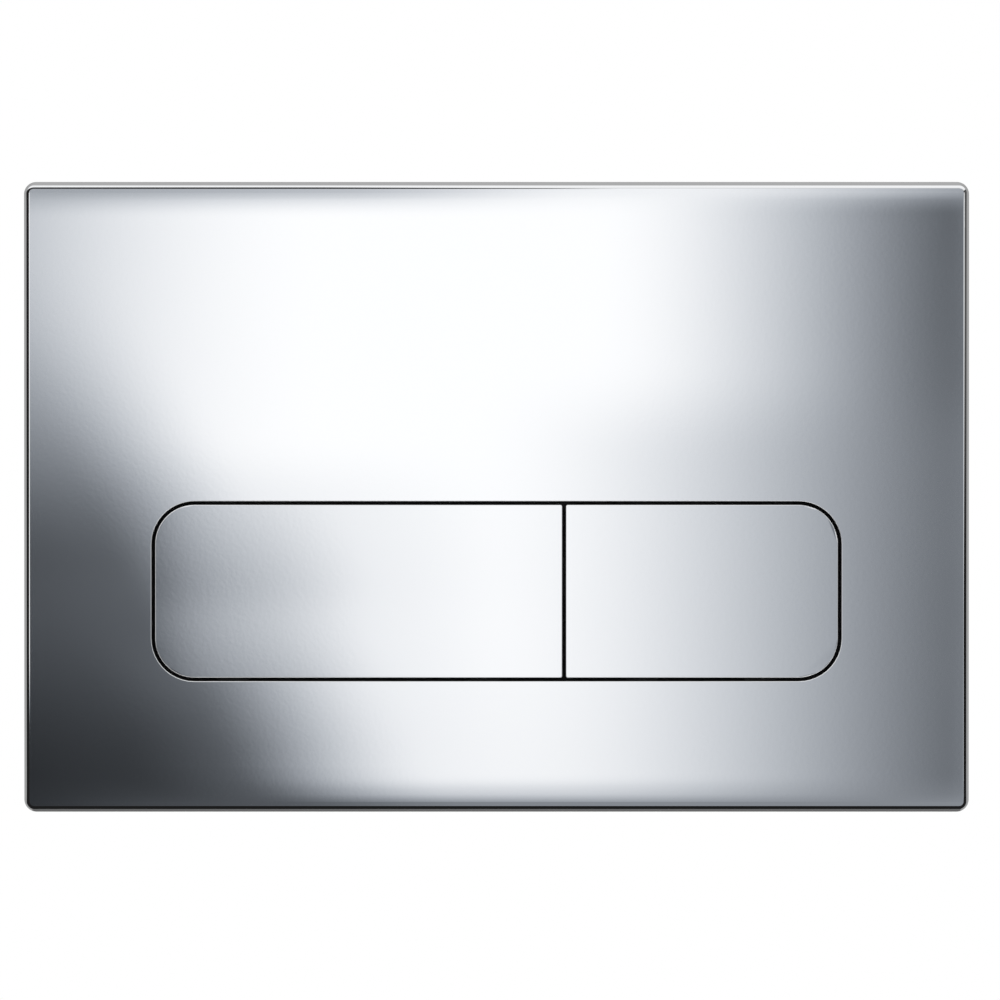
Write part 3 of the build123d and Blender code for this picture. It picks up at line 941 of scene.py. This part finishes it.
def cardTone(tree):
    x, z = (calc(tree, "MULTIPLY", axis, 1 / mm) for axis in ownAxes(tree)[::2])
    tone = calc(tree, "MULTIPLY", sideFall(tree, x, z), cornerShadow(tree, x, z))
    rise = fade(tree, x, *card["upperRise"], "LINEAR")
    above = calc(tree, "ADD", rise, fade(tree, x, *card["upperGlow"]))
    above = calc(tree, "MULTIPLY", above, fade(tree, x, *card["upperRight"]))
    tone = blend(tree, fade(tree, z, *card["upper"]), tone, above)
    below = fade(tree, x, *card["lowerTone"], "LINEAR")
    tone = blend(tree, fade(tree, z, *card["lower"]), tone, below)
    stripEnd = fade(tree, z, *card["leftStripEnd"])
    strip = calc(tree, "MULTIPLY", fade(tree, x, *card["leftStrip"]), stripEnd)
    return blend(tree, strip, tone, 1.0)


def buildCard():
    material, tree, glow = glowMaterial("frontCard")
    tone = cardTone(tree)
    tint = blendColour(tree, tone, card["coolTint"], (1.0, 1.0, 1.0))
    tree.links.new(tint, glow.inputs["Color"])
    tree.links.new(calc(tree, "DIVIDE", tone, card["reflectance"]), glow.inputs["Strength"])
    sheet = uprightCard("frontCard", material, tree, glow, card)
    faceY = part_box("front_plate")[0].y
    grow = 1 + card["distance"] / (faceY - view["place"][1])  # a mirror image spreads with distance
    sheet.location = Vector(view["place"]) * (1 - grow)
    sheet.location.y = faceY - card["distance"]
    sheet.scale = (grow, 1, grow)


# one more card on each side, which the face mirrors in slanting views
sideCard = {
    "angle": 44.0,
    "distance": 1.15,
    "halfWidth": 0.5,
    "halfHeight": 0.5,
    "softEdge": 0.14,
    "span": (-0.3, 0.32),
    "tones": (1.0, 0.26),  # bright towards the front
    "slant": 0.5,
}


def buildSideCard(name, side):
    material, tree, glow = glowMaterial(name)
    x, _, z = ownAxes(tree)
    drop = calc(tree, "MULTIPLY", z, sideCard["slant"])
    along = calc(tree, "SUBTRACT", calc(tree, "MULTIPLY", x, side), drop)
    tone = fade(tree, along, *sideCard["span"], *sideCard["tones"])
    tree.links.new(tone, glow.inputs["Strength"])
    sheet = uprightCard(name, material, tree, glow, sideCard)
    turn = math.radians(sideCard["angle"]) * side
    sheet.location = Vector((math.sin(turn), -math.cos(turn), 0)) * sideCard["distance"]
    sheet.rotation_euler.z = turn


buildCard()
buildSideCard("rightCard", 1.0)
buildSideCard("leftCard", -1.0)
print("cards set")


# a thin dark strip just off the rim, seen only in the chrome, which draws its dark line as a
# painted reflection; in millimetres and degrees
rimFlag = {
    "inset": 2.13,  # middle of the rim's rounding, in from the outline
    "back": 0.9,  # and back from the face
    "corner": 1.0,
    "reach": 1.5,
    "angles": (12.0, 126.0),  # from the face's own direction, at the sides and the bottom
    "leftStart": (-62.0, -40.0, 18.0),  # on the left it starts later above this height
    "rightStart": (-30.0, 55.0, 34.0),  # and on the right above this one
    "topAngles": (8.0, 38.0),
    "topEnd": (-45.0, 32.0),  # the line at the top thins out here
    "rollFrom": 69.7,  # where the face eases back, over what height and how far
    "rollHeight": 11.0,
    "rollDrop": 0.53,
    "rows": 6,
    "runSteps": 60,
    "cornerStep": 15,
    "lastTurn": 30,
    "black": 0.015,
    "rightTone": 0.1,
    "rightFade": (-0.02, 0.05),  # in metres, up the right side
    "rightSpan": (0.117, 0.12),
    "topTone": 0.08,
    "topSpan": (0.079, 0.0815),
}


def clamped(value, start, end):
    return min(max((value - start) / (end - start), 0.0), 1.0)


def rimFlagMaterial():
    material, tree, glow = glowMaterial("rimFlag")
    x, _, z = ownAxes(tree)
    right = fade(tree, z, *rimFlag["rightFade"], rimFlag["black"], rimFlag["rightTone"])
    tone = blend(tree, fade(tree, x, *rimFlag["rightSpan"]), rimFlag["black"], right)
    tone = blend(tree, fade(tree, z, *rimFlag["topSpan"]), tone, rimFlag["topTone"])
    tree.links.new(tone, glow.inputs["Strength"])
    return material


def rimPath():
    # points round the rim, with the direction that each faces: top, left, bottom, right
    corner, steps = rimFlag["corner"], rimFlag["runSteps"]
    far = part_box("front_plate")[1] / mm
    wide, tall = far.x - rimFlag["inset"] - corner, far.z - rimFlag["inset"] - corner
    runs = (
        (-wide, tall, 90, 1, 0, rimFlag["topEnd"][1] + wide),
        (-wide, -tall, 180, 0, 1, 2 * tall),
        (wide, -tall, 270, -1, 0, 2 * wide),
        (wide, tall, 360, 0, -1, 2 * tall),
    )
    path = []
    for x, z, start, runX, runZ, length in runs:
        turn = math.radians(start)
        edgeX, edgeZ = x + corner * math.cos(turn), z + corner * math.sin(turn)
        for step in range(steps, 0, -1):  # along the straight run to this corner
            along = length * step / steps
            path.append((edgeX + runX * along, edgeZ + runZ * along, start))
        end = start + (90 if start < 360 else rimFlag["lastTurn"])
        for angle in range(start, end + 1, rimFlag["cornerStep"]):
            turn = math.radians(angle)
            path.append((x + corner * math.cos(turn), z + corner * math.sin(turn), angle))
    return path


def stripAngles(x, z, angle):
    # first and last tilt of the strip at a point of the rim
    upward = max(math.sin(math.radians(angle)), 0.0) if angle <= 270 else 0.0
    first, last = (a + (b - a) * upward for a, b in zip(rimFlag["angles"], rimFlag["topAngles"]))
    if angle == 90:
        last = first + (last - first) * (1 - clamped(x, *rimFlag["topEnd"]))
    if angle in (180, 360):
        low, high, most = rimFlag["leftStart" if angle == 180 else "rightStart"]
        first += (most - first) * clamped(z, low, high)
    return first, last


def buildRimFlag():
    reach, rows = rimFlag["reach"], rimFlag["rows"]
    rollEnd = rimFlag["rollFrom"] + rimFlag["rollHeight"]
    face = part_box("front_plate")[0].y / mm + rimFlag["back"]
    path = rimPath()
    verts = []
    for x, z, angle in path:
        turn = math.radians(angle)
        first, last = stripAngles(x, z, angle)
        y = face + rimFlag["rollDrop"] * clamped(abs(z), rimFlag["rollFrom"], rollEnd) ** 3
        for row in range(rows):
            tilt = math.radians(first + (last - first) * row / (rows - 1))
            out, ahead = reach * math.sin(tilt), reach * math.cos(tilt)
            point = (x + out * math.cos(turn), y - ahead, z + out * math.sin(turn))
            verts.append(Vector(point) * mm)
    faces = []
    for column in range(len(path) - 1):
        for row in range(rows - 1):
            i = column * rows + row
            faces.append((i, i + 1, i + rows + 1, i + rows))
    stageSheet("rimFlag", verts, rimFlagMaterial(), faces=faces)


# a thin dark upright strip behind the plate, which only its lower side mirrors as a painted dark
# reflection; in millimetres
underFlag = {"tone": 0.15, "back": 30.0, "drop": (4.2, 9.5), "side": 4.0}


def buildUnderFlag():
    material, tree, glow = glowMaterial("underFlag")
    glow.inputs["Strength"].default_value = underFlag["tone"]
    low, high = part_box("front_plate")
    top, bottom = (low.z - drop * mm for drop in underFlag["drop"])
    left, right = low.x - underFlag["side"] * mm, high.x + underFlag["side"] * mm
    outline = ((left, top), (right, top), (right, bottom), (left, bottom))
    stageSheet("underFlag", [(x, underFlag["back"] * mm, z) for x, z in outline], material)


buildRimFlag()
buildUnderFlag()
print("flags set")


# pale floor that fades into the white surround
floor = {
    "drop": 0.45,
    "radius": 2.6,
    "sides": 64,
    "colours": ((0.9, 0.9, 0.9), (0.873, 0.873, 0.873)),
    "cloudScale": 6.0,
    "cloudDetail": 3.0,
    "roughness": 0.8,
    "edgeSpan": (0.5, 2.34),
}


def buildFloor():
    material, tree, shader = newMaterial("paleFloor")
    cloud = noise(tree, floor["cloudScale"], floor["cloudDetail"])
    tree.links.new(blendColour(tree, cloud, *floor["colours"]), shader.inputs["Base Color"])
    shader.inputs["Roughness"].default_value = floor["roughness"]
    away = addNode(tree, "ShaderNodeVectorMath", {0: ownPlace(tree)}, operation="LENGTH")
    edge = fade(tree, away.outputs["Value"], *floor["edgeSpan"])
    behind = addNode(tree, "ShaderNodeNewGeometry").outputs["Backfacing"]
    thinOut(tree, shader, calc(tree, "MAXIMUM", edge, behind))
    angles = [math.tau * i / floor["sides"] for i in range(floor["sides"])]
    ring = [(floor["radius"] * math.cos(a), floor["radius"] * math.sin(a), 0) for a in angles]
    sheet = stageSheet("paleFloor", ring, material, mirrorOnly=False)
    sheet.location.z = cadBox[0].z - floor["drop"]


buildFloor()


# world: white to the camera, a soft studio gradient in the chrome, plain fill on the rest
studio = {"fill": 0.55, "rise": (0.05, 0.75), "level": 0.36, "overhead": 1.14}


def buildWorld():
    world = bpy.data.worlds.new("studio")
    scene.world = world
    world.use_nodes = True
    tree = world.node_tree
    tree.nodes.clear()
    ray = addNode(tree, "ShaderNodeLightPath").outputs
    direction = addNode(tree, "ShaderNodeTexCoord").outputs["Generated"]
    height = addNode(tree, "ShaderNodeSeparateXYZ", {0: direction}).outputs[2]
    tone = fade(tree, height, *studio["rise"], studio["level"], studio["overhead"])
    lights = []
    for strength in (studio["fill"], tone, 1.0):
        inputs = {"Color": opaque((1, 1, 1)), "Strength": strength}
        lights.append(addNode(tree, "ShaderNodeBackground", inputs).outputs[0])
    fill, mirror, white = lights
    glossy = {0: ray["Is Glossy Ray"], 1: fill, 2: mirror}
    lit = addNode(tree, "ShaderNodeMixShader", glossy).outputs[0]
    seen = calc(tree, "MAXIMUM", ray["Is Camera Ray"], ray["Is Transmission Ray"])
    both = addNode(tree, "ShaderNodeMixShader", {0: seen, 1: lit, 2: white}).outputs[0]
    addNode(tree, "ShaderNodeOutputWorld", {"Surface": both})


buildWorld()


# soft boxes
lamps = {
    "keyBox": {"place": (-0.9, -1.3, 1.3), "size": 0.9, "power": 14.0},
    "topBox": {"place": (0.3, 0.2, 1.8), "size": 1.4, "power": 16.0},
    "backBox": {"place": (0.9, 1.4, 0.9), "size": 0.9, "power": 12.0},
}
for name, lamp in lamps.items():
    light = bpy.data.lights.new(name, "AREA")
    light.energy = lamp["power"]
    light.size = lamp["size"]
    box = bpy.data.objects.new(name, light)
    aim(box, lamp["place"])
    box.visible_glossy = False
    scene.collection.objects.link(box)
print("floor and light set")

scene.view_settings.view_transform = "Standard"
